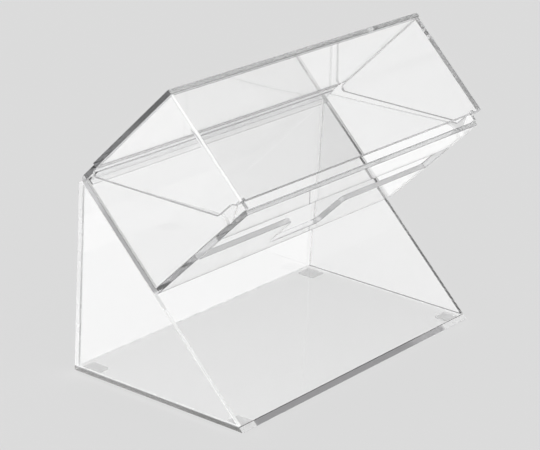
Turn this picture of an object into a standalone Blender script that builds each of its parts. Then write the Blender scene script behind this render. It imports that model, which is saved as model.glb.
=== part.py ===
# Clear acrylic paper towel dispenser: a triangular sheet stand that carries a tilted, open-slotted tray, and a
# hinged lid that closes over the tray. Metres, +Z up, +X to the right of someone in front of it, front towards -Y.
# Origin: centre of the footprint, on the surface that the feet stand on.
#
# The stand's sloping edges lie in one plane. Positions on the tray and lid are given in that plane's own
# coordinates: x across, s down the slope from its top back corner, n square to it, up and forwards.

import math

import bmesh
import bpy
from mathutils import Vector

for ob in list(bpy.data.objects):
    bpy.data.objects.remove(ob, do_unlink=True)

MM = 0.001
GAP = 0.3            # clearance between neighbouring pieces
EDGE = 0.25          # chamfer of the polished sheet edges

# Stand
WIDTH = 260.0        # outer width of the stand and tray
DEPTH = 141.0        # front to back
RISE = 134.5         # height of the sloping plane at the back
SHEET = 3.0          # base, back and side sheets
BACK_TOP = 131.3     # top of the back panel
FOOT = 14.0          # side of the square foot pads
FOOT_H = 1.0
FOOT_INSET = 3.0

# Tray
T_TRAY = 3.6         # bent tray sheet
T_FRONT = 3.3        # upper front panel
T_END = 3.0          # tray end panels, inside the bent sheet
END_BAR = 3.0        # width of the bars left at the slot's ends
TRAY_BACK = 1.0      # s of the tray's outer back face
TRAY_FRONT = 91.9    # s of the tray's outer front face
TRAY_N = 0.3         # n of the tray's underside
TRAY_R = 4.2         # outer radius of the bends
LIP_TOP = 17.9       # n of the low back lip's top edge
SLOT_LOW = 45.6      # n of the slot's lower edge
SLOT_HIGH = 70.3     # n of the slot's upper edge
FRONT_TOP = 101.0    # n of the upper front panel's top edge
NOTCH_W = 57.0       # width of the finger recess in the lower front panel
NOTCH_LOW = 16.2     # n of the recess's bottom
NOTCH_R_IN = 6.0     # radius of the recess's bottom corners
NOTCH_R_OUT = 4.0    # radius of the recess's top corners
END_R = 8.0          # radius of the end panels' top front corner
T_STRIP = 1.0        # angle strip inside the tray's back corner
STRIP_UP = 14.4      # n of the strip's upper edge, on the lip
STRIP_OUT = 9.2      # s of the strip's lower edge, on the tray's bottom

# Lid
T_LID = 3.8
LID_OVER = 6.0       # overhang past each end of the tray
LID_BACK = 1.7       # s of the lid's outer back face
T_BACK = 3.4         # lid back panel
LID_FRONT = 84.2     # s of the lid's front edge
LID_TOP = 107.3      # n of the lid's top face
LID_R = 2.5          # outer radius of the lid's end bends
LID_R_IN = 0.5       # inner radius of the lid's end bends
FLAP_FRONT = 81.3    # s of the flaps' front edge
FLAP_LOW_N = 85.0    # n of the flaps' lower front corner
FLAP_SLOPE = 0.95    # rise of the flaps' lower edge along s
T_FLAP = 4.0
FLAP_TIP_R = 3.0     # radius of the flaps' lower back tip

# Hinge
PIN_R = 1.8
PIN_S = 3.1
PIN_N = LIP_TOP + GAP + PIN_R

ANG = math.atan2(RISE, DEPTH)
CA, SA = math.cos(ANG), math.sin(ANG)
FOOT_Z = FOOT_H + GAP


def stand_pt(x, y, z):
    return Vector(((x - WIDTH / 2) * MM, (y - DEPTH / 2) * MM, (z + FOOT_Z) * MM))


def slope_pt(x, s, n):
    return stand_pt(x, DEPTH - CA * s - SA * n, RISE - SA * s + CA * n)


def material(name, rgb, rough, ior=1.49):
    mat = bpy.data.materials.new(name)
    mat.use_nodes = True
    bsdf = mat.node_tree.nodes["Principled BSDF"]
    bsdf.inputs["Base Color"].default_value = (*rgb, 1.0)
    bsdf.inputs["Roughness"].default_value = rough
    bsdf.inputs["IOR"].default_value = ior
    bsdf.inputs["Transmission Weight"].default_value = 1.0
    return mat


def arc(cx, cy, r, a0, a1, steps):
    """Points on a circle from angle a0 to a1 in degrees, ends included."""
    pts = []
    for i in range(steps + 1):
        a = math.radians(a0 + (a1 - a0) * i / steps)
        pts.append((cx + r * math.cos(a), cy + r * math.sin(a)))
    return pts


def clean(me, edge):
    """Outward faces, chamfered sharp edges, smooth shading split at the edges that stay sharp."""
    bm = bmesh.new()
    bm.from_mesh(me)
    bmesh.ops.remove_doubles(bm, verts=bm.verts, dist=1e-6)
    bmesh.ops.recalc_face_normals(bm, faces=bm.faces)
    if edge > 0:
        sharp = [e for e in bm.edges if len(e.link_faces) == 2 and e.calc_face_angle() > math.radians(35)]
        bmesh.ops.bevel(bm, geom=sharp, offset=edge * MM, offset_type="OFFSET", segments=1, profile=0.5,
                        affect="EDGES", clamp_overlap=True, loop_slide=True)
        bmesh.ops.recalc_face_normals(bm, faces=bm.faces)
    for e in bm.edges:
        e.smooth = not (len(e.link_faces) == 2 and e.calc_face_angle() > math.radians(25))
    for f in bm.faces:
        f.smooth = True
    if bm.calc_volume(signed=True) < 0:
        bmesh.ops.reverse_faces(bm, faces=bm.faces)
    bm.to_mesh(me)
    bm.free()


def prism_mesh(name, outline, lo, hi, place):
    """A closed body: a 2-D outline swept from lo to hi. place(u, v, w) gives the 3-D point."""
    n = len(outline)
    verts = [place(u, v, lo) for u, v in outline] + [place(u, v, hi) for u, v in outline]
    faces = [tuple(range(n)), tuple(range(2 * n - 1, n - 1, -1))]
    faces += [(i, i + n, (i + 1) % n + n, (i + 1) % n) for i in range(n)]
    me = bpy.data.meshes.new(name)
    me.from_pydata([tuple(v) for v in verts], [], faces)
    me.update()
    bm = bmesh.new()
    bm.from_mesh(me)
    bmesh.ops.recalc_face_normals(bm, faces=bm.faces)
    bm.to_mesh(me)
    bm.free()
    return me


def add(name, me, mat, origin=None, edge=EDGE):
    clean(me, edge)
    me.materials.clear()
    me.materials.append(mat)
    ob = bpy.data.objects.new(name, me)
    bpy.context.scene.collection.objects.link(ob)
    if origin is not None:
        for v in me.vertices:
            v.co -= origin
        ob.location = origin
    return ob


def cut(me, cutters, operation):
    """The mesh with each cutter taken from it, or kept to it, by exact booleans."""
    ob = bpy.data.objects.new("work", me)
    bpy.context.scene.collection.objects.link(ob)
    tools = []
    for i, tool in enumerate(cutters):
        t = bpy.data.objects.new("cutter_%d" % i, tool)
        t.hide_render = True
        t.display_type = "WIRE"
        bpy.context.scene.collection.objects.link(t)
        m = ob.modifiers.new("cut_%d" % i, "BOOLEAN")
        m.operation = operation
        m.solver = "EXACT"
        m.object = t
        tools.append(t)
    bpy.context.view_layer.update()
    deps = bpy.context.evaluated_depsgraph_get()
    out = bpy.data.meshes.new_from_object(ob.evaluated_get(deps))
    for t in tools + [ob]:
        bpy.data.objects.remove(t, do_unlink=True)
    return out


def across(u, v, w):      # outline in the stand's y, z; swept along x
    return stand_pt(w, u, v)


def across_slope(u, v, w):  # outline in s, n; swept along x
    return slope_pt(w, u, v)


def along_s(u, v, w):     # outline in x, n; swept down the slope
    return slope_pt(u, w, v)


def upright(u, v, w):     # outline in x, y; swept along z
    return stand_pt(u, v, w)


CLEAR_BASE = material("clear_acrylic_base", (0.975, 0.985, 0.980), 0.03)
CLEAR_BACK = material("clear_acrylic_back", (0.985, 0.990, 0.988), 0.02)
CLEAR_SIDE = material("clear_acrylic_side", (0.985, 0.990, 0.988), 0.02)
CLEAR_TRAY = material("clear_acrylic_tray", (0.980, 0.988, 0.986), 0.02)
CLEAR_END = material("clear_acrylic_end", (0.982, 0.990, 0.988), 0.02)
CLEAR_STRIP = material("clear_acrylic_strip", (0.970, 0.978, 0.978), 0.06)
CLEAR_FRONT = material("clear_acrylic_front", (0.980, 0.986, 0.988), 0.02)
CLEAR_LID = material("clear_acrylic_lid", (0.980, 0.988, 0.986), 0.02)
CLEAR_PIN = material("clear_acrylic_pin", (0.975, 0.985, 0.985), 0.03)
CLEAR_STOP = material("clear_acrylic_stop", (0.970, 0.980, 0.982), 0.05)
CLEAR_PAD = material("clear_soft_pad", (0.930, 0.940, 0.938), 0.25, 1.45)

# ---- Stand -------------------------------------------------------------------------------------------------

run_in = SHEET * CA / SA
add("base_plate", prism_mesh("base_plate", [(0, 0), (DEPTH, 0), (DEPTH, SHEET), (run_in, SHEET)], 0, WIDTH, across),
    CLEAR_BASE)

add("back_panel", prism_mesh("back_panel", [(DEPTH - SHEET, SHEET + GAP), (DEPTH, SHEET + GAP), (DEPTH, BACK_TOP),
                                            (DEPTH - SHEET, BACK_TOP)], 0, WIDTH, across), CLEAR_BACK)

side_back = DEPTH - SHEET - GAP
side_low = SHEET + GAP
side = [(side_low * CA / SA, side_low), (side_back, side_low), (side_back, side_back * SA / CA)]
for side_name, x0 in (("left_side_panel", 0.0), ("right_side_panel", WIDTH - SHEET)):
    add(side_name, prism_mesh(side_name, side, x0, x0 + SHEET, across), CLEAR_SIDE)


def pad(x0, y0):
    r = 1.5
    pts = []
    for cx, cy, a in ((x0 + FOOT - r, y0 + FOOT - r, 0), (x0 + r, y0 + FOOT - r, 90), (x0 + r, y0 + r, 180),
                      (x0 + FOOT - r, y0 + r, 270)):
        pts += arc(cx, cy, r, a, a + 90, 4)
    return pts


far_x = WIDTH - FOOT_INSET - FOOT
far_y = DEPTH - FOOT_INSET - FOOT
for foot_name, fx, fy in (("front_left_foot", FOOT_INSET, FOOT_INSET), ("front_right_foot", far_x, FOOT_INSET),
                          ("back_left_foot", FOOT_INSET, far_y), ("back_right_foot", far_x, far_y)):
    add(foot_name, prism_mesh(foot_name, pad(fx, fy), -GAP - FOOT_H, -GAP, upright), CLEAR_PAD, edge=0.15)

# ---- Tray --------------------------------------------------------------------------------------------------

inner = TRAY_R - T_TRAY
back_cx = TRAY_BACK + TRAY_R
front_cx = TRAY_FRONT - TRAY_R
bend_n = TRAY_N + TRAY_R
tray = [(TRAY_BACK, LIP_TOP)]
tray += arc(back_cx, bend_n, TRAY_R, 180, 270, 12)
tray += arc(front_cx, bend_n, TRAY_R, 270, 360, 12)
tray += [(TRAY_FRONT, SLOT_HIGH - GAP), (TRAY_FRONT - T_TRAY, SLOT_HIGH - GAP)]
tray += arc(front_cx, bend_n, inner, 360, 270, 12)
tray += arc(back_cx, bend_n, inner, 270, 180, 12)
tray += [(TRAY_BACK + T_TRAY, LIP_TOP)]
tray_me = prism_mesh("tray_body", tray, 0, WIDTH, across_slope)

half = NOTCH_W / 2
mid = WIDTH / 2
recess = []
recess += arc(mid - half + NOTCH_R_IN, NOTCH_LOW + NOTCH_R_IN, NOTCH_R_IN, 180, 270, 8)
recess += arc(mid + half - NOTCH_R_IN, NOTCH_LOW + NOTCH_R_IN, NOTCH_R_IN, 270, 360, 8)
recess += arc(mid + half + NOTCH_R_OUT, SLOT_LOW - NOTCH_R_OUT, NOTCH_R_OUT, 180, 90, 8)
recess += [(WIDTH - END_BAR, SLOT_LOW), (WIDTH - END_BAR, SLOT_HIGH + 6), (END_BAR, SLOT_HIGH + 6), (END_BAR, SLOT_LOW)]
recess += arc(mid - half - NOTCH_R_OUT, SLOT_LOW - NOTCH_R_OUT, NOTCH_R_OUT, 90, 0, 8)
recess_me = prism_mesh("recess", recess, TRAY_FRONT - T_TRAY - 4, TRAY_FRONT + 4, along_s)
add("tray_body", cut(tray_me, [recess_me], "DIFFERENCE"), CLEAR_TRAY)

strip_s = TRAY_BACK + T_TRAY + GAP
strip_n = TRAY_N + T_TRAY + GAP
strip = [(strip_s, strip_n), (STRIP_OUT, strip_n), (STRIP_OUT, strip_n + T_STRIP), (strip_s + T_STRIP, strip_n + T_STRIP),
         (strip_s + T_STRIP, STRIP_UP), (strip_s, STRIP_UP)]
add("corner_strip", prism_mesh("corner_strip", strip, T_END + GAP, WIDTH - T_END - GAP, across_slope),
    CLEAR_STRIP, edge=0.15)

end_front = TRAY_FRONT - T_TRAY - GAP
end_cx = TRAY_FRONT - END_R
end_cn = 76.0
start = math.degrees(math.acos((end_front - end_cx) / END_R))
slope_a = math.degrees(math.atan(FLAP_SLOPE))
top_s = end_cx + END_R * math.cos(math.radians(90 + slope_a))
top_n = end_cn + END_R * math.sin(math.radians(90 + slope_a))
back_n = bend_n + (strip_s - TRAY_BACK) * (top_n - bend_n) / (top_s - TRAY_BACK)
end = [(strip_s, back_n)]
end += arc(back_cx, bend_n, inner - GAP, 180, 270, 4)
end += arc(front_cx, bend_n, inner - GAP, 270, 360, 4)
end += arc(end_cx, end_cn, END_R, start, 90 + slope_a, 10)
for end_name, x0 in (("tray_left_end", 0.0), ("tray_right_end", WIDTH - T_END)):
    add(end_name, prism_mesh(end_name, end, x0, x0 + T_END, across_slope), CLEAR_END)

upper = [(TRAY_FRONT - T_FRONT, SLOT_HIGH), (TRAY_FRONT, SLOT_HIGH), (TRAY_FRONT, FRONT_TOP),
         (TRAY_FRONT - T_FRONT, FRONT_TOP)]
add("front_upper_panel", prism_mesh("front_upper_panel", upper, 0, WIDTH, across_slope), CLEAR_FRONT)

stop_front = TRAY_FRONT - T_FRONT - GAP
stop = [(stop_front, 88.0), (stop_front, 102.2), (81.5, 102.2), (82.3, 98.4), (84.3, 94.6), (86.1, 91.0)]
for stop_name, x0 in (("left_lid_stop", 0.0), ("right_lid_stop", WIDTH - T_END)):
    add(stop_name, prism_mesh(stop_name, stop, x0, x0 + T_END, across_slope), CLEAR_STOP)

# ---- Hinge and lid -----------------------------------------------------------------------------------------

pin_axis = slope_pt(mid, PIN_S, PIN_N)
add("hinge_rod", prism_mesh("hinge_rod", arc(PIN_S, PIN_N, PIN_R, 0, 345, 23), 0, WIDTH, across_slope), CLEAR_PIN,
    edge=0.2)

lid_x0 = -LID_OVER
lid_x1 = WIDTH + LID_OVER
lid_back_low = PIN_N + PIN_R + GAP
lid_inner = LID_BACK + T_BACK
back = [(LID_BACK, lid_back_low), (lid_inner, lid_back_low), (lid_inner, LID_TOP), (LID_BACK, LID_TOP)]
add("lid_back_panel", prism_mesh("lid_back_panel", back, lid_x0, lid_x1, across_slope), CLEAR_LID, origin=pin_axis)

shell_s0 = lid_inner + GAP
in_x = T_FLAP + LID_R_IN
in_n = LID_TOP - T_LID - LID_R_IN
shell = [(lid_x0, 0.0)]
shell += arc(lid_x0 + LID_R, LID_TOP - LID_R, LID_R, 180, 90, 10)
shell += arc(lid_x1 - LID_R, LID_TOP - LID_R, LID_R, 90, 0, 10)
shell += [(lid_x1, 0.0), (lid_x1 - T_FLAP, 0.0)]
shell += arc(lid_x1 - in_x, in_n, LID_R_IN, 0, 90, 4)
shell += arc(lid_x0 + in_x, in_n, LID_R_IN, 90, 180, 4)
shell += [(lid_x0 + T_FLAP, 0.0)]
shell_me = prism_mesh("lid_shell", shell, shell_s0, LID_FRONT, along_s)
low_back = FLAP_LOW_N - FLAP_SLOPE * (FLAP_FRONT - shell_s0)
tip_s = shell_s0 + FLAP_TIP_R - 0.05
tip_n = low_back + FLAP_SLOPE * (tip_s - shell_s0) + FLAP_TIP_R * math.hypot(1.0, FLAP_SLOPE)
keep = [(shell_s0 - 5, tip_n)]
keep += arc(tip_s, tip_n, FLAP_TIP_R, 180, 270 + slope_a, 8)
keep += [(FLAP_FRONT, FLAP_LOW_N), (FLAP_FRONT, 98.5), (LID_FRONT, 102.6), (LID_FRONT + 5, 102.6),
         (LID_FRONT + 5, LID_TOP + 5), (shell_s0 - 5, LID_TOP + 5)]
keep_me = prism_mesh("keep", keep, lid_x0 - 5, lid_x1 + 5, across_slope)
add("lid_shell", cut(shell_me, [keep_me], "INTERSECT"), CLEAR_LID, origin=pin_axis)
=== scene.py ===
# Clear acrylic paper towel dispenser: the looks around the imported frame. Metres, +Z up, front towards -Y.
# The bent and round sheets are drawn again with smooth bends on the CAD's own dimensions, the flat sheets are the
# CAD nodes with a sheet material, and the glued seams get their cement lines.
# Many edge finishes also paint the light and dark seen along the edges: painted highlights and painted shade.

import math

import bmesh
import bpy
from mathutils import Matrix, Vector


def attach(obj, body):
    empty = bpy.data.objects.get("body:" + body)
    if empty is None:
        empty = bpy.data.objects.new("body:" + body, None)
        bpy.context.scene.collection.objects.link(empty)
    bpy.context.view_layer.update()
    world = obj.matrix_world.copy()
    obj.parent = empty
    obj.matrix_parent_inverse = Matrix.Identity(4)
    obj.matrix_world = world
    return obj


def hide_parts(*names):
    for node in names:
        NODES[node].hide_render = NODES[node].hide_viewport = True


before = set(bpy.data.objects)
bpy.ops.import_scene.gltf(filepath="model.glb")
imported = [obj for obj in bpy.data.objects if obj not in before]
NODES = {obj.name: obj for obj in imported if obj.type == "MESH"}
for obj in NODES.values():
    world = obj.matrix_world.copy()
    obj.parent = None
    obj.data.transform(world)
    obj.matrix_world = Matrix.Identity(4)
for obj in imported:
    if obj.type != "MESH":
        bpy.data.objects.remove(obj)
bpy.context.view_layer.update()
scene = bpy.context.scene

MM = 0.001
GAP = 0.3
WIDTH, DEPTH, RISE = 260.0, 141.0, 134.5
SHEET = 3.0
FOOT_Z = 1.3
T_TRAY, T_FRONT, T_END = 3.6, 3.3, 3.0
TRAY_BACK, TRAY_FRONT, TRAY_N, TRAY_R = 1.0, 91.9, 0.3, 4.2
LIP_TOP, SLOT_LOW, SLOT_HIGH, FRONT_TOP, END_BAR = 17.9, 45.6, 70.3, 101.0, 3.0
NOTCH_W, NOTCH_LOW, NOTCH_R_IN, NOTCH_R_OUT = 57.0, 16.2, 6.0, 4.0
END_R = 8.0
T_STRIP, STRIP_UP, STRIP_OUT = 1.0, 14.4, 9.2
T_LID, T_FLAP, T_BACK, LID_OVER, LID_BACK, LID_FRONT, LID_TOP = 3.8, 4.0, 3.4, 6.0, 1.7, 84.2, 107.3
LID_R, LID_R_IN = 2.5, 0.5
FLAP_FRONT, FLAP_LOW_N, FLAP_SLOPE, FLAP_TIP_R = 81.3, 85.0, 0.95, 3.0
PIN_R = 1.8
PIN_S = 3.1
PIN_N = LIP_TOP + GAP + PIN_R

ANG = math.atan2(RISE, DEPTH)
CA, SA = math.cos(ANG), math.sin(ANG)


def stand_pt(x, y, z):
    return Vector(((x - WIDTH / 2) * MM, (y - DEPTH / 2) * MM, (z + FOOT_Z) * MM))


def slope_pt(x, s, n):
    return stand_pt(x, DEPTH - CA * s - SA * n, RISE - SA * s + CA * n)


def slope_of(p):
    """x, s, n in millimetres of a point in the row frame."""
    x = p.x / MM + WIDTH / 2
    y = p.y / MM + DEPTH / 2 - DEPTH
    z = p.z / MM - FOOT_Z - RISE
    return x, -(CA * y + SA * z), -SA * y + CA * z


S_DIR = Vector((0, -CA, -SA))
N_DIR = Vector((0, -SA, CA))

# ---- Camera ------------------------------------------------------------------------------------------------

RIGHT = Vector((0.605248, -0.7943309, 0.0520881)).normalized()
DOWN = Vector((-0.2446488, -0.2478817, -0.9373909)).normalized()
AHEAD = RIGHT.cross(DOWN).normalized()
cam_data = bpy.data.cameras.new("camera")
cam_data.lens = 149.1796
cam_data.sensor_width = 36.0
cam_data.clip_start = 0.05
cam_data.clip_end = 60.0
camera = bpy.data.objects.new("camera", cam_data)
scene.collection.objects.link(camera)
turn = Matrix((RIGHT, -DOWN, -AHEAD)).transposed().to_4x4()
camera.matrix_world = Matrix.Translation((-1.14774989, -0.82788086, 0.60636478)) @ turn
scene.camera = camera

# ---- Colour and light paths --------------------------------------------------------------------------------

scene.view_settings.view_transform = "Standard"
scene.view_settings.look = "None"
scene.view_settings.exposure = 0.0
scene.view_settings.gamma = 1.0
scene.cycles.max_bounces = 40
scene.cycles.transmission_bounces = 40
scene.cycles.glossy_bounces = 24
scene.cycles.transparent_max_bounces = 64
scene.cycles.caustics_reflective = False
scene.cycles.caustics_refractive = False

# ---- Materials ---------------------------------------------------------------------------------------------


class Graph:
    """A short way to write a node tree."""

    def __init__(self, tree):
        self.tree = tree

    def add(self, kind, **values):
        node = self.tree.nodes.new(kind)
        for key, value in values.items():
            setattr(node, key, value)
        return node

    def put(self, socket, value):
        if isinstance(value, bpy.types.NodeSocket):
            self.tree.links.new(value, socket)
        else:
            socket.default_value = value

    def math(self, op, a, b=None, c=None, clamp=False):
        node = self.add("ShaderNodeMath", operation=op, use_clamp=clamp)
        for i, v in enumerate((a, b, c)):
            if v is not None:
                self.put(node.inputs[i], v)
        return node.outputs[0]

    def vec(self, op, a, b=None, out=0):
        node = self.add("ShaderNodeVectorMath", operation=op)
        self.put(node.inputs[0], a)
        if b is not None:
            self.put(node.inputs[1], b)
        return node.outputs[out]

    def noise(self, where, scale, detail=2.0, rough=0.5, distortion=0.0):
        node = self.add("ShaderNodeTexNoise")
        self.put(node.inputs["Vector"], where)
        node.inputs["Scale"].default_value = scale
        node.inputs["Detail"].default_value = detail
        node.inputs["Roughness"].default_value = rough
        node.inputs["Distortion"].default_value = distortion
        return node.outputs["Fac"]

    def ramp(self, value, lo, hi, a=0.0, b=1.0):
        node = self.add("ShaderNodeMapRange", interpolation_type="SMOOTHSTEP")
        self.put(node.inputs["Value"], value)
        node.inputs["From Min"].default_value = lo
        node.inputs["From Max"].default_value = hi
        node.inputs["To Min"].default_value = a
        node.inputs["To Max"].default_value = b
        return node.outputs["Result"]

    def mix(self, fac, a, b):
        node = self.add("ShaderNodeMix", data_type="RGBA")
        self.put(node.inputs["Factor"], fac)
        self.put(node.inputs[6], a)
        self.put(node.inputs[7], b)
        return node.outputs[2]


def acrylic(name, seed=0.0, main=None, edges=(), edge=None, corner=None, tint=(0.9965, 0.9970, 0.9968), rough=0.010,
            wave=0.00002, absorb=(0.878, 0.880, 0.879), density=0.0, shade=0.995, ior=1.49):
    """Polished clear sheet. With main, the sheet's own normal in object space, the surface that faces another way is
    a sawn and polished edge. An edge finish is (tint, milk, roughness): milk is the share of light that the sawn
    surface scatters. edges holds (direction, finish) pairs, the first one for every edge. corner is the finish of the
    small chamfers between face and edge. With edge, the whole surface is an edge."""
    mat = bpy.data.materials.new(name)
    mat.use_nodes = True
    g = Graph(mat.node_tree)
    for node in list(mat.node_tree.nodes):
        mat.node_tree.nodes.remove(node)
    out = g.add("ShaderNodeOutputMaterial")
    coord = g.add("ShaderNodeTexCoord")
    where = g.vec("ADD", coord.outputs["Object"], (seed, seed * 1.7, seed * 0.6))
    # slow waves of the sheet, wiped haze and hairline scratches
    slow = g.noise(where, 16.0, 1.0)
    haze = g.ramp(g.noise(where, 34.0, 4.0, 0.62), 0.52, 0.78)
    hair_at = g.add("ShaderNodeMapping")
    g.put(hair_at.inputs["Vector"], where)
    hair_at.inputs["Rotation"].default_value = (0.4, 0.9, 0.35)
    hair_at.inputs["Scale"].default_value = (26.0, 1500.0, 1500.0)
    hair = g.ramp(g.noise(hair_at.outputs["Vector"], 1.0, 1.0), 0.70, 0.76)
    hair = g.math("MULTIPLY", hair, g.ramp(g.noise(where, 22.0, 2.0), 0.46, 0.62))
    rough_v = g.math("ADD", g.math("MULTIPLY", haze, 0.014), rough)
    rough_v = g.math("ADD", rough_v, g.math("MULTIPLY", hair, 0.04))
    cloud = g.noise(where, 9.0, 2.0)
    colour = g.mix(cloud, tuple(tint) + (1.0,), tuple(c * 0.990 for c in tint) + (1.0,))
    clear_v = 1.0
    height = slow
    finishes = []
    if edge is not None:
        finishes.append((1.0, edge))
    if main is not None:
        facing = g.math("ABSOLUTE", g.vec("DOT_PRODUCT", coord.outputs["Normal"], tuple(main), out=1))
        any_edge = g.math("LESS_THAN", facing, 0.9)
        for i, (direction, finish, *_) in enumerate(edges):
            mask = any_edge
            if direction is not None:
                turned = g.vec("DOT_PRODUCT", coord.outputs["Normal"], tuple(direction), out=1)
                mask = g.math("MULTIPLY", any_edge, g.math("GREATER_THAN", turned, 0.75))
            if len(edges[i]) > 2:
                # only part of the edge: full at lo, gone at hi along an axis, in metres
                axis, lo, hi = edges[i][2]
                along = g.vec("DOT_PRODUCT", coord.outputs["Object"], tuple(axis), out=1)
                mask = g.math("MULTIPLY", mask, g.ramp(along, lo, hi, 1.0, 0.0))
            finishes.append((mask, finish))
        if corner is not None:
            finishes.append((g.math("MULTIPLY", any_edge, g.math("GREATER_THAN", facing, 0.35)), corner))
    if finishes:
        saw = g.noise(where, 1100.0, 2.0, 0.6)
        patch = g.noise(where, 70.0, 3.0)
        for mask, (e_tint, milk, e_rough) in finishes:
            e_colour = g.mix(patch, tuple(e_tint) + (1.0,), tuple(c * 0.90 for c in e_tint) + (1.0,))
            e_rough_v = g.math("ADD", g.math("MULTIPLY", patch, 0.05), e_rough)
            e_clear = g.math("SUBTRACT", 1.0 - milk, g.math("MULTIPLY", saw, 0.04), clamp=True)
            if mask == 1.0:
                colour, rough_v, clear_v = e_colour, e_rough_v, e_clear
                height = g.math("ADD", slow, g.math("MULTIPLY", saw, 0.05))
            else:
                colour = g.mix(mask, colour, e_colour)
                inv = g.math("SUBTRACT", 1.0, mask)
                rough_v = g.math("ADD", g.math("MULTIPLY", rough_v, inv), g.math("MULTIPLY", e_rough_v, mask))
                clear_v = g.math("ADD", g.math("MULTIPLY", clear_v, inv), g.math("MULTIPLY", e_clear, mask))
        if main is not None:
            height = g.math("ADD", slow, g.math("MULTIPLY", g.math("MULTIPLY", saw, 0.05), any_edge))
    bsdf = g.add("ShaderNodeBsdfPrincipled")
    bump = g.add("ShaderNodeBump")
    bump.inputs["Strength"].default_value = 1.0
    bump.inputs["Distance"].default_value = wave
    g.put(bump.inputs["Height"], height)
    g.put(bsdf.inputs["Base Color"], colour)
    g.put(bsdf.inputs["Roughness"], rough_v)
    g.put(bsdf.inputs["Normal"], bump.outputs["Normal"])
    g.put(bsdf.inputs["Transmission Weight"], clear_v)
    bsdf.inputs["IOR"].default_value = ior
    clear = g.add("ShaderNodeBsdfTransparent")
    clear.inputs["Color"].default_value = (shade, shade, shade, 1.0)
    path = g.add("ShaderNodeLightPath")
    both = g.add("ShaderNodeMixShader")
    g.put(both.inputs[0], path.outputs["Is Shadow Ray"])
    g.put(both.inputs[1], bsdf.outputs[0])
    g.put(both.inputs[2], clear.outputs[0])
    g.put(out.inputs["Surface"], both.outputs[0])
    if density > 0:
        body = g.add("ShaderNodeVolumeAbsorption")
        body.inputs["Color"].default_value = tuple(absorb) + (1.0,)
        body.inputs["Density"].default_value = density
        g.put(out.inputs["Volume"], body.outputs[0])
    return mat


X_DIR = Vector((1, 0, 0))
Y_DIR = Vector((0, 1, 0))
Z_DIR = Vector((0, 0, 1))
PLAIN = ((0.88, 0.885, 0.885), 0.06, 0.10)     # sawn and polished
LINE = ((0.50, 0.50, 0.51), 0.02, 0.10)        # the small chamfer at a polished edge, tinted dark: painted shade for the thin grey line along the edge
DARK_END_SHADE = ((0.28, 0.28, 0.29), 0.10, 0.10)        # flame-bright end, tinted dark: painted shade for the dark seen down the whole width of the sheet
SATIN = ((0.93, 0.93, 0.935), 0.34, 0.20)      # sawn and lightly sanded
FRONT_EDGE = ((0.93, 0.92, 0.94), 0.27, 0.15)
PAD_REFLECTION = ((0.96, 0.96, 0.96), 0.64, 0.25)      # painted reflection: a pad's pale reflection in the base plate's front edge
LEFT_EDGE = ((0.93, 0.93, 0.91), 0.20, 0.15)
DULL = ((0.45, 0.45, 0.46), 0.32, 0.20)        # saw-cut and left as it is, tinted dark: painted shade for the grey line such an edge shows
SLANT_HIGHLIGHT = ((0.96, 0.96, 0.96), 0.50, 0.25)       # white: a painted highlight along the left side panel's slanted edge
JOINT = ((0.98, 0.98, 0.98), 0.0, 0.02)        # polished and cemented clear
WHITE = ((0.98, 0.98, 0.98), 0.86, 0.25)       # white all over: a painted highlight on the back panel's left end
BRIGHT = ((0.97, 0.972, 0.972), 0.75, 0.25)    # frosted white, partly by the cement of the joint and partly a painted highlight

S0 = S_DIR.dot(slope_pt(0, 0, 0))

# Edge by edge these finishes paint the light and dark seen along the edges: the white edges of the left-hand sheets are
# painted highlights, the dark and darker edges painted shade, and the stretches set along an axis painted light and
# shade as well.
FLAT = {
    # painted reflection: the base plate's front edge is paler for 15 and 27 mm at its two ends
    "base_plate": (Vector((0, 0, 1)), 0.0, [(None, FRONT_EDGE), (-X_DIR, LEFT_EDGE),
                                                 (N_DIR, PAD_REFLECTION, (X_DIR, -0.130 + 0.0145, -0.130 + 0.0160)),
                                                 (N_DIR, PAD_REFLECTION, (-X_DIR, 0.027 - 0.130, 0.030 - 0.130))], None),
    "back_panel": (Y_DIR, 3.1, [(None, BRIGHT), (X_DIR, ((0.97, 0.97, 0.97), 0.22, 0.20)), (-X_DIR, WHITE)], None),
    "left_side_panel": (X_DIR, 5.7, [(None, BRIGHT), (N_DIR, SLANT_HIGHLIGHT),
                                     (N_DIR, ((0.95, 0.95, 0.95), 0.30, 0.20), (-S_DIR, -S0 - 0.185, -S0 - 0.120)), (Y_DIR, JOINT),
                                         (-Z_DIR, ((0.95, 0.95, 0.95), 0.60, 0.25), (Y_DIR, -0.0585, -0.040))], None),
    "right_side_panel": (X_DIR, 8.3, [(None, PLAIN), (N_DIR, ((0.84, 0.84, 0.845), 0.06, 0.08)),
                                      (N_DIR, ((0.95, 0.95, 0.95), 0.30, 0.15), (S_DIR, S0 + 0.020, S0 + 0.050)),
                                      (Y_DIR, JOINT), (-Z_DIR, ((0.95, 0.95, 0.95), 0.40, 0.20))], None),
    "front_upper_panel": (S_DIR, 11.9, [(None, PLAIN), (-X_DIR, ((0.85, 0.85, 0.855), 0.12, 0.10))], LINE),
    "lid_back_panel": (S_DIR, 14.2, [(None, PLAIN), (-X_DIR, DARK_END_SHADE), (X_DIR, JOINT), (-N_DIR, JOINT)],
                       ((0.70, 0.70, 0.71), 0.02, 0.10)),
}
CLEAR = 0.9967     # the share of light that one sheet lets through
# The base plate and the right side panel are tinted darker than the other sheets: painted shade, for the darker tones
# seen through them.
SHEET_TINT_AND_SHADE = {"base_plate": 0.980, "back_panel": CLEAR, "left_side_panel": CLEAR, "right_side_panel": 0.900,
              "front_upper_panel": CLEAR, "lid_back_panel": CLEAR}
for node, (normal, seed, edges, corner) in FLAT.items():
    NODES[node].data.materials[0] = acrylic("sheet_" + node, seed=seed, main=normal, edges=edges, corner=corner,
                                            tint=(SHEET_TINT_AND_SHADE[node],) * 3, density=10.0)

# The darker edge tints below, on the tray's front edge and the lid's edges and flap edges, are painted shade for the
# dark lines seen along them.
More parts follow.
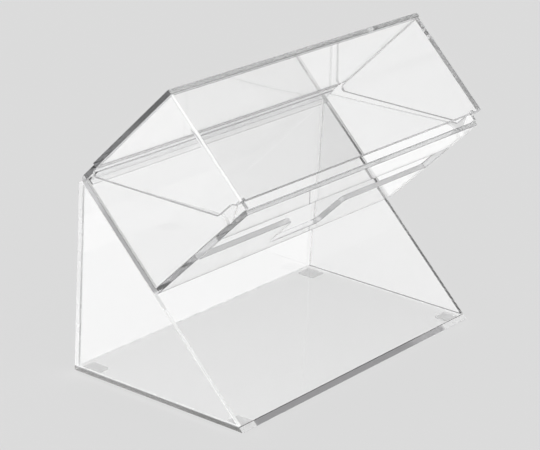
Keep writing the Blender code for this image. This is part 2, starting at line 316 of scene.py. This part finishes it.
FACE_TRAY = acrylic("sheet_tray", seed=17.1)
EDGE_TRAY = acrylic("edge_tray", seed=17.1, edge=SATIN)
SIDE_TRAY = acrylic("edge_tray_end", seed=17.1, edge=((0.93, 0.93, 0.94), 0.42, 0.20))
LIP_TIP = acrylic("edge_tray_lip_end", seed=17.1, edge=DARK_END_SHADE)
# painted shade: the tray's back bend is tinted darker than the sheet
TRAY_BEND_SHADE = acrylic("bend_tray", seed=17.1, rough=0.03, tint=(0.74, 0.74, 0.745))
TIP_TRAY = acrylic("edge_tray_front", seed=17.1, edge=((0.84, 0.84, 0.845), 0.12, 0.10))
TOP_TRAY = acrylic("edge_tray_lip", seed=17.1, edge=JOINT)
FACE_END = acrylic("sheet_end", seed=20.4)
EDGE_END = acrylic("edge_end", seed=20.4, edge=((0.96, 0.96, 0.96), 0.45, 0.20))
FACE_STRIP = acrylic("sheet_strip", seed=33.0, rough=0.02, tint=(0.985, 0.985, 0.987), wave=0.000004)
EDGE_STRIP = acrylic("edge_strip", seed=33.0, edge=DULL)
FACE_LID = acrylic("sheet_lid", seed=23.8)
EDGE_LID = acrylic("edge_lid", seed=23.8, edge=((0.56, 0.56, 0.57), 0.06, 0.10))
TIP_LID = acrylic("edge_flap_front", seed=23.8, edge=((0.60, 0.60, 0.61), 0.30, 0.20))
LOW_LID = acrylic("edge_flap_low", seed=23.8, edge=((0.80, 0.80, 0.805), 0.28, 0.20))
# The lid's bends are painted: the left bend white, a painted highlight; the right bend dark, painted shade, and paler
# at its back end, painted light.
LEFT_BEND_HIGHLIGHT = acrylic("bend_left", seed=23.8, edge=((0.97, 0.972, 0.972), 0.76, 0.20))
RIGHT_BEND_SHADE = acrylic("bend_right", seed=23.8, edge=((0.10, 0.10, 0.11), 0.42, 0.20))
RIGHT_BEND_BACK_LIGHT = acrylic("bend_right_back", seed=23.8, edge=((0.86, 0.85, 0.87), 0.55, 0.20))
CHAMFER = acrylic("edge_chamfer", seed=25.2, edge=LINE)
ROD = acrylic("clear_rod", seed=27.3, tint=(0.985, 0.985, 0.985), rough=0.03, ior=1.15)
ROD_END = acrylic("clear_rod_end", seed=27.3, edge=DARK_END_SHADE)
STOP = acrylic("clear_stop", seed=29.6, rough=0.04, main=X_DIR, edges=[(None, PLAIN), (-S_DIR, DULL)], density=10.0)


def pad_material():
    mat = bpy.data.materials.new("soft_pad")
    mat.use_nodes = True
    g = Graph(mat.node_tree)
    bsdf = mat.node_tree.nodes["Principled BSDF"]
    coord = g.add("ShaderNodeTexCoord")
    grain = g.noise(coord.outputs["Object"], 1400.0, 2.0)
    cloud = g.noise(coord.outputs["Object"], 160.0, 2.0)
    g.put(bsdf.inputs["Base Color"], g.mix(cloud, (0.97, 0.97, 0.97, 1), (0.94, 0.94, 0.94, 1)))
    g.put(bsdf.inputs["Roughness"], g.math("ADD", g.math("MULTIPLY", grain, 0.18), 0.32))
    bump = g.add("ShaderNodeBump")
    bump.inputs["Strength"].default_value = 0.4
    bump.inputs["Distance"].default_value = 0.00005
    g.put(bump.inputs["Height"], grain)
    g.put(bsdf.inputs["Normal"], bump.outputs["Normal"])
    bsdf.inputs["IOR"].default_value = 1.45
    bsdf.inputs["Transmission Weight"].default_value = 0.80
    bsdf.inputs["Alpha"].default_value = 0.30
    clear = g.add("ShaderNodeBsdfTransparent")
    clear.inputs["Color"].default_value = (0.96, 0.96, 0.96, 1.0)
    path = g.add("ShaderNodeLightPath")
    both = g.add("ShaderNodeMixShader")
    g.put(both.inputs[0], path.outputs["Is Shadow Ray"])
    g.put(both.inputs[1], bsdf.outputs[0])
    g.put(both.inputs[2], clear.outputs[0])
    g.put(mat.node_tree.nodes["Material Output"].inputs["Surface"], both.outputs[0])
    return mat


PAD = pad_material()
for node in ("front_left_foot", "front_right_foot", "back_left_foot", "back_right_foot"):
    NODES[node].data.materials[0] = PAD
for node in ("left_lid_stop", "right_lid_stop"):
    NODES[node].data.materials[0] = STOP

# ---- Shapes ------------------------------------------------------------------------------------------------


def arc(cx, cy, r, a0, a1, steps):
    pts = []
    for i in range(steps + 1):
        a = math.radians(a0 + (a1 - a0) * i / steps)
        pts.append((cx + r * math.cos(a), cy + r * math.sin(a)))
    return pts


def across_slope(u, v, w):
    return slope_pt(w, u, v)


def along_s(u, v, w):
    return slope_pt(u, w, v)


def prism(outline, lo, hi, place):
    n = len(outline)
    verts = [place(u, v, lo) for u, v in outline] + [place(u, v, hi) for u, v in outline]
    faces = [tuple(range(n)), tuple(range(2 * n - 1, n - 1, -1))]
    faces += [(i, i + n, (i + 1) % n + n, (i + 1) % n) for i in range(n)]
    me = bpy.data.meshes.new("prism")
    me.from_pydata([tuple(v) for v in verts], [], faces)
    bm = bmesh.new()
    bm.from_mesh(me)
    bmesh.ops.recalc_face_normals(bm, faces=bm.faces)
    bm.to_mesh(me)
    bm.free()
    return me


def cut(me, tool, operation):
    ob = bpy.data.objects.new("work", me)
    cutter = bpy.data.objects.new("cutter", tool)
    for o in (ob, cutter):
        scene.collection.objects.link(o)
    m = ob.modifiers.new("cut", "BOOLEAN")
    m.operation, m.solver, m.object = operation, "EXACT", cutter
    bpy.context.view_layer.update()
    done = bpy.data.meshes.new_from_object(ob.evaluated_get(bpy.context.evaluated_depsgraph_get()))
    for o in (ob, cutter):
        bpy.data.objects.remove(o, do_unlink=True)
    return done


def divide(me, points_and_normals):
    """Extra edges on the flat faces, where the finish changes. Nothing moves."""
    bm = bmesh.new()
    bm.from_mesh(me)
    for at, nrm in points_and_normals:
        bmesh.ops.bisect_plane(bm, geom=list(bm.verts) + list(bm.edges) + list(bm.faces), plane_co=at, plane_no=nrm)
    bm.to_mesh(me)
    bm.free()
    return me


def piece(name, me, body, mats, part_of=None, chamfer=0.25, replaces=None, smooth_over=25.0, line=None,
          no_line=None):
    """A finished object: softened sharp edges, smooth bends with flat faces kept flat. part_of gives the slot of each
    face; line is the material of the chamfers, except where no_line says otherwise."""
    bm = bmesh.new()
    bm.from_mesh(me)
    bmesh.ops.remove_doubles(bm, verts=bm.verts, dist=1e-6)
    bmesh.ops.recalc_face_normals(bm, faces=bm.faces)
    for f in bm.faces:
        f.material_index = 0
    if chamfer > 0:
        sharp = [e for e in bm.edges if len(e.link_faces) == 2 and e.calc_face_angle() > math.radians(35)]
        bmesh.ops.bevel(bm, geom=sharp, offset=chamfer * MM, offset_type="OFFSET", segments=2, profile=0.5,
                        affect="EDGES", clamp_overlap=True, loop_slide=True, material=1)
        bmesh.ops.recalc_face_normals(bm, faces=bm.faces)
    rims = {f for f in bm.faces if f.material_index == 1}
    if bm.calc_volume(signed=True) < 0:
        bmesh.ops.reverse_faces(bm, faces=bm.faces)
    for f in bm.faces:
        f.smooth = True
        f.material_index = part_of(f.calc_center_median(), f.normal) if part_of is not None else 0
        if line is not None and f in rims and not (no_line and no_line(f.calc_center_median())):
            f.material_index = len(mats)
    for e in bm.edges:
        e.smooth = not (len(e.link_faces) == 2 and e.calc_face_angle() > math.radians(smooth_over))
    me.materials.clear()
    bm.to_mesh(me)
    bm.free()
    for m in mats + ([line] if line is not None else []):
        me.materials.append(m)
    ob = bpy.data.objects.new(name, me)
    scene.collection.objects.link(ob)
    wn = ob.modifiers.new("flat_faces", "WEIGHTED_NORMAL")
    wn.mode = "FACE_AREA"
    wn.weight = 100
    wn.keep_sharp = True
    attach(ob, body)
    if replaces:
        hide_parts(replaces)
    return ob


inner = TRAY_R - T_TRAY
back_cx = TRAY_BACK + TRAY_R
front_cx = TRAY_FRONT - TRAY_R
bend_n = TRAY_N + TRAY_R
tray = [(TRAY_BACK, LIP_TOP)]
tray += arc(back_cx, bend_n, TRAY_R, 180, 270, 28)
tray += arc(front_cx, bend_n, TRAY_R, 270, 360, 28)
tray += [(TRAY_FRONT, SLOT_HIGH - GAP), (TRAY_FRONT - T_TRAY, SLOT_HIGH - GAP)]
tray += arc(front_cx, bend_n, inner, 360, 270, 28)
tray += arc(back_cx, bend_n, inner, 270, 180, 28)
tray += [(TRAY_BACK + T_TRAY, LIP_TOP)]
tray_me = prism(tray, 0, WIDTH, across_slope)
half, mid = NOTCH_W / 2, WIDTH / 2
recess = []
recess += arc(mid - half + NOTCH_R_IN, NOTCH_LOW + NOTCH_R_IN, NOTCH_R_IN, 180, 270, 14)
recess += arc(mid + half - NOTCH_R_IN, NOTCH_LOW + NOTCH_R_IN, NOTCH_R_IN, 270, 360, 14)
recess += arc(mid + half + NOTCH_R_OUT, SLOT_LOW - NOTCH_R_OUT, NOTCH_R_OUT, 180, 90, 14)
recess += [(WIDTH - END_BAR, SLOT_LOW), (WIDTH - END_BAR, SLOT_HIGH + 6), (END_BAR, SLOT_HIGH + 6), (END_BAR, SLOT_LOW)]
recess += arc(mid - half - NOTCH_R_OUT, SLOT_LOW - NOTCH_R_OUT, NOTCH_R_OUT, 90, 0, 14)
recess_me = prism(recess, TRAY_FRONT - T_TRAY - 4, TRAY_FRONT + 4, along_s)


def tray_part(c, nrm):
    x, s, n = slope_of(c)
    if s < 20 and n > 12.0 and nrm.dot(N_DIR) > 0.7:
        return 3
    if abs(nrm.x) > 0.6 and (x < 1.0 or x > WIDTH - 1.0):
        if n < bend_n:
            return 6
        return 2 if s > 50 else 4
    if n > 12.0 and abs(nrm.dot(S_DIR)) < 0.8:
        return 1
    if s < back_cx and n < bend_n and abs(nrm.x) < 0.1:
        return 5
    return 0


tray_me = divide(cut(tray_me, recess_me, "DIFFERENCE"), [(slope_pt(0, 0, bend_n), N_DIR)])
piece("tray_sheet", tray_me, "stand_and_tray", [FACE_TRAY, EDGE_TRAY, TIP_TRAY, TOP_TRAY, LIP_TIP, TRAY_BEND_SHADE,
                                                SIDE_TRAY], tray_part, replaces="tray_body", line=CHAMFER)

strip_s = TRAY_BACK + T_TRAY + GAP
strip_n = TRAY_N + T_TRAY + GAP
strip = [(strip_s, strip_n), (STRIP_OUT, strip_n), (STRIP_OUT, strip_n + T_STRIP), (strip_s + T_STRIP, strip_n + T_STRIP),
         (strip_s + T_STRIP, STRIP_UP), (strip_s, STRIP_UP)]


def strip_part(c, nrm):
    x, s, n = slope_of(c)
    if nrm.dot(S_DIR) > 0.5 and s > STRIP_OUT - 0.4 or nrm.dot(N_DIR) > 0.5 and n > STRIP_UP - 0.4:
        return 1
    return 0


piece("corner_strip_sheet", prism(strip, T_END + GAP, WIDTH - T_END - GAP, across_slope), "stand_and_tray",
      [FACE_STRIP, EDGE_STRIP], strip_part, chamfer=0.15, replaces="corner_strip")

end_front = TRAY_FRONT - T_TRAY - GAP
end_cx = TRAY_FRONT - END_R
end_cn = 76.0
start = math.degrees(math.acos((end_front - end_cx) / END_R))
slope_a = math.degrees(math.atan(FLAP_SLOPE))
top_s = end_cx + END_R * math.cos(math.radians(90 + slope_a))
top_n = end_cn + END_R * math.sin(math.radians(90 + slope_a))
back_n = bend_n + (strip_s - TRAY_BACK) * (top_n - bend_n) / (top_s - TRAY_BACK)
end = [(strip_s, back_n)]
end += arc(back_cx, bend_n, inner - GAP, 180, 270, 10)
end += arc(front_cx, bend_n, inner - GAP, 270, 360, 10)
end += arc(end_cx, end_cn, END_R, start, 90 + slope_a, 20)
for side, x0 in (("left", 0.0), ("right", WIDTH - T_END)):
    piece("tray_%s_end_sheet" % side, prism(end, x0, x0 + T_END, across_slope), "stand_and_tray",
          [FACE_END, EDGE_END], lambda c, nrm: 1 if abs(nrm.x) < 0.6 else 0, replaces="tray_%s_end" % side)

piece("hinge_rod_round", prism(arc(PIN_S, PIN_N, PIN_R, 0, 352.5, 47), 0, WIDTH, across_slope), "stand_and_tray",
      [ROD, ROD_END], lambda c, nrm: 1 if abs(nrm.x) > 0.6 else 0, chamfer=0.2, replaces="hinge_rod")

lid_x0, lid_x1 = -LID_OVER, WIDTH + LID_OVER
shell_s0 = LID_BACK + T_BACK + GAP
in_x = T_FLAP + LID_R_IN
in_n = LID_TOP - T_LID - LID_R_IN
shell = [(lid_x0, 0.0)]
shell += arc(lid_x0 + LID_R, LID_TOP - LID_R, LID_R, 180, 90, 28)
shell += arc(lid_x1 - LID_R, LID_TOP - LID_R, LID_R, 90, 0, 28)
shell += [(lid_x1, 0.0), (lid_x1 - T_FLAP, 0.0)]
shell += arc(lid_x1 - in_x, in_n, LID_R_IN, 0, 90, 8)
shell += arc(lid_x0 + in_x, in_n, LID_R_IN, 90, 180, 8)
shell += [(lid_x0 + T_FLAP, 0.0)]
shell_me = prism(shell, shell_s0, LID_FRONT, along_s)
low_back = FLAP_LOW_N - FLAP_SLOPE * (FLAP_FRONT - shell_s0)
tip_s = shell_s0 + FLAP_TIP_R - 0.05
tip_n = low_back + FLAP_SLOPE * (tip_s - shell_s0) + FLAP_TIP_R * math.hypot(1.0, FLAP_SLOPE)
keep = [(shell_s0 - 5, tip_n)]
keep += arc(tip_s, tip_n, FLAP_TIP_R, 180, 270 + slope_a, 16)
keep += [(FLAP_FRONT, FLAP_LOW_N), (FLAP_FRONT, 98.5), (LID_FRONT, 102.6), (LID_FRONT + 5, 102.6),
         (LID_FRONT + 5, LID_TOP + 5), (shell_s0 - 5, LID_TOP + 5)]
keep_me = prism(keep, lid_x0 - 5, lid_x1 + 5, across_slope)


def flap_back(c):
    """The right flap's back edge, whose chamfers are hardly seen."""
    x, s, n = slope_of(c)
    return x > 200 and s < shell_s0 + 0.5 and n < 104


def lid_part(c, nrm):
    x, s, n = slope_of(c)
    if abs(nrm.dot(S_DIR)) > 0.3 or nrm.dot(N_DIR) < -0.6 and n < 100:
        if n < 102.5 and nrm.dot(S_DIR) > 0.7:
            return 2
        return 3 if n < 98.5 else 1
    up = math.degrees(math.asin(max(-1.0, min(1.0, nrm.dot(N_DIR)))))
    if x < 130 and 38 < up < 72 and n > LID_TOP - LID_R and x < lid_x0 + LID_R:
        return 4
    if x > 130 and 22 < up < 76 and n > LID_TOP - LID_R and x > lid_x1 - LID_R:
        return 6 if s < 21.3 else 5
    return 0


lid_me = divide(cut(shell_me, keep_me, "INTERSECT"), [(slope_pt(0, 21.3, 0), S_DIR)])
piece("lid_sheet", lid_me, "lid", [FACE_LID, EDGE_LID, TIP_LID, LOW_LID, LEFT_BEND_HIGHLIGHT, RIGHT_BEND_SHADE, RIGHT_BEND_BACK_LIGHT], lid_part,
      replaces="lid_shell", line=CHAMFER,
      no_line=flap_back)

SUN = 3.86         # strength of the soft overhead light
SURROUND = 0.22    # the studio between the floor's horizon and the overhead light
THROUGH = 0.825    # the floor as seen through the clear sheets

# ---- Floor and light ---------------------------------------------------------------------------------------

floor_me = bpy.data.meshes.new("floor")
floor_me.from_pydata([(-12, -12, 0), (12, -12, 0), (12, 12, 0), (-12, 12, 0)], [], [(0, 1, 2, 3)])
floor = bpy.data.objects.new("floor", floor_me)
scene.collection.objects.link(floor)

fm = bpy.data.materials.new("pale_floor")
fm.use_nodes = True
g = Graph(fm.node_tree)
fb = fm.node_tree.nodes["Principled BSDF"]
path = g.add("ShaderNodeLightPath")
fc = g.add("ShaderNodeTexCoord")
grain = g.noise(fc.outputs["Object"], 3.0, 2.0)
seen = g.mix(grain, (0.598, 0.598, 0.598, 1), (0.602, 0.602, 0.602, 1))
# the same plain floor, evenly paler where it is seen through the clear sheets
through = g.mix(grain, (THROUGH - 0.003, THROUGH - 0.003, THROUGH - 0.003, 1), (THROUGH + 0.003, THROUGH + 0.003, THROUGH + 0.003, 1))
g.put(fb.inputs["Base Color"], g.mix(path.outputs["Is Camera Ray"], through, seen))
fb.inputs["Roughness"].default_value = 1.0
fb.inputs["Specular IOR Level"].default_value = 0.0
floor_me.materials.append(fm)

sun_data = bpy.data.lights.new("soft_overhead", "SUN")
sun_data.angle = math.radians(150.0)
sun_data.energy = SUN
sun_data.cycles.use_multiple_importance_sampling = False
sun = bpy.data.objects.new("soft_overhead", sun_data)
sun.rotation_euler = (math.radians(12), math.radians(-10), 0)
sun.visible_glossy = False
sun.visible_transmission = False
scene.collection.objects.link(sun)

world = bpy.data.worlds.new("studio")
scene.world = world
world.use_nodes = True
world.cycles_visibility.diffuse = False
world.cycles.sampling_method = "NONE"
g = Graph(world.node_tree)
bg = world.node_tree.nodes["Background"]
wc = g.add("ShaderNodeTexCoord")
path = g.add("ShaderNodeLightPath")
sep = g.add("ShaderNodeSeparateXYZ")
g.put(sep.inputs[0], wc.outputs["Generated"])
low = g.mix(g.ramp(sep.outputs["Z"], 0.20, 0.30), (0.90, 0.90, 0.90, 1), (SURROUND, SURROUND, SURROUND, 1))
dome = g.mix(g.ramp(sep.outputs["Z"], 0.66, 0.80), low, (1.25, 1.25, 1.25, 1))
g.put(bg.inputs["Color"], g.mix(path.outputs["Is Camera Ray"], dome, (0.708, 0.708, 0.708, 1)))
bg.inputs["Strength"].default_value = 1.0
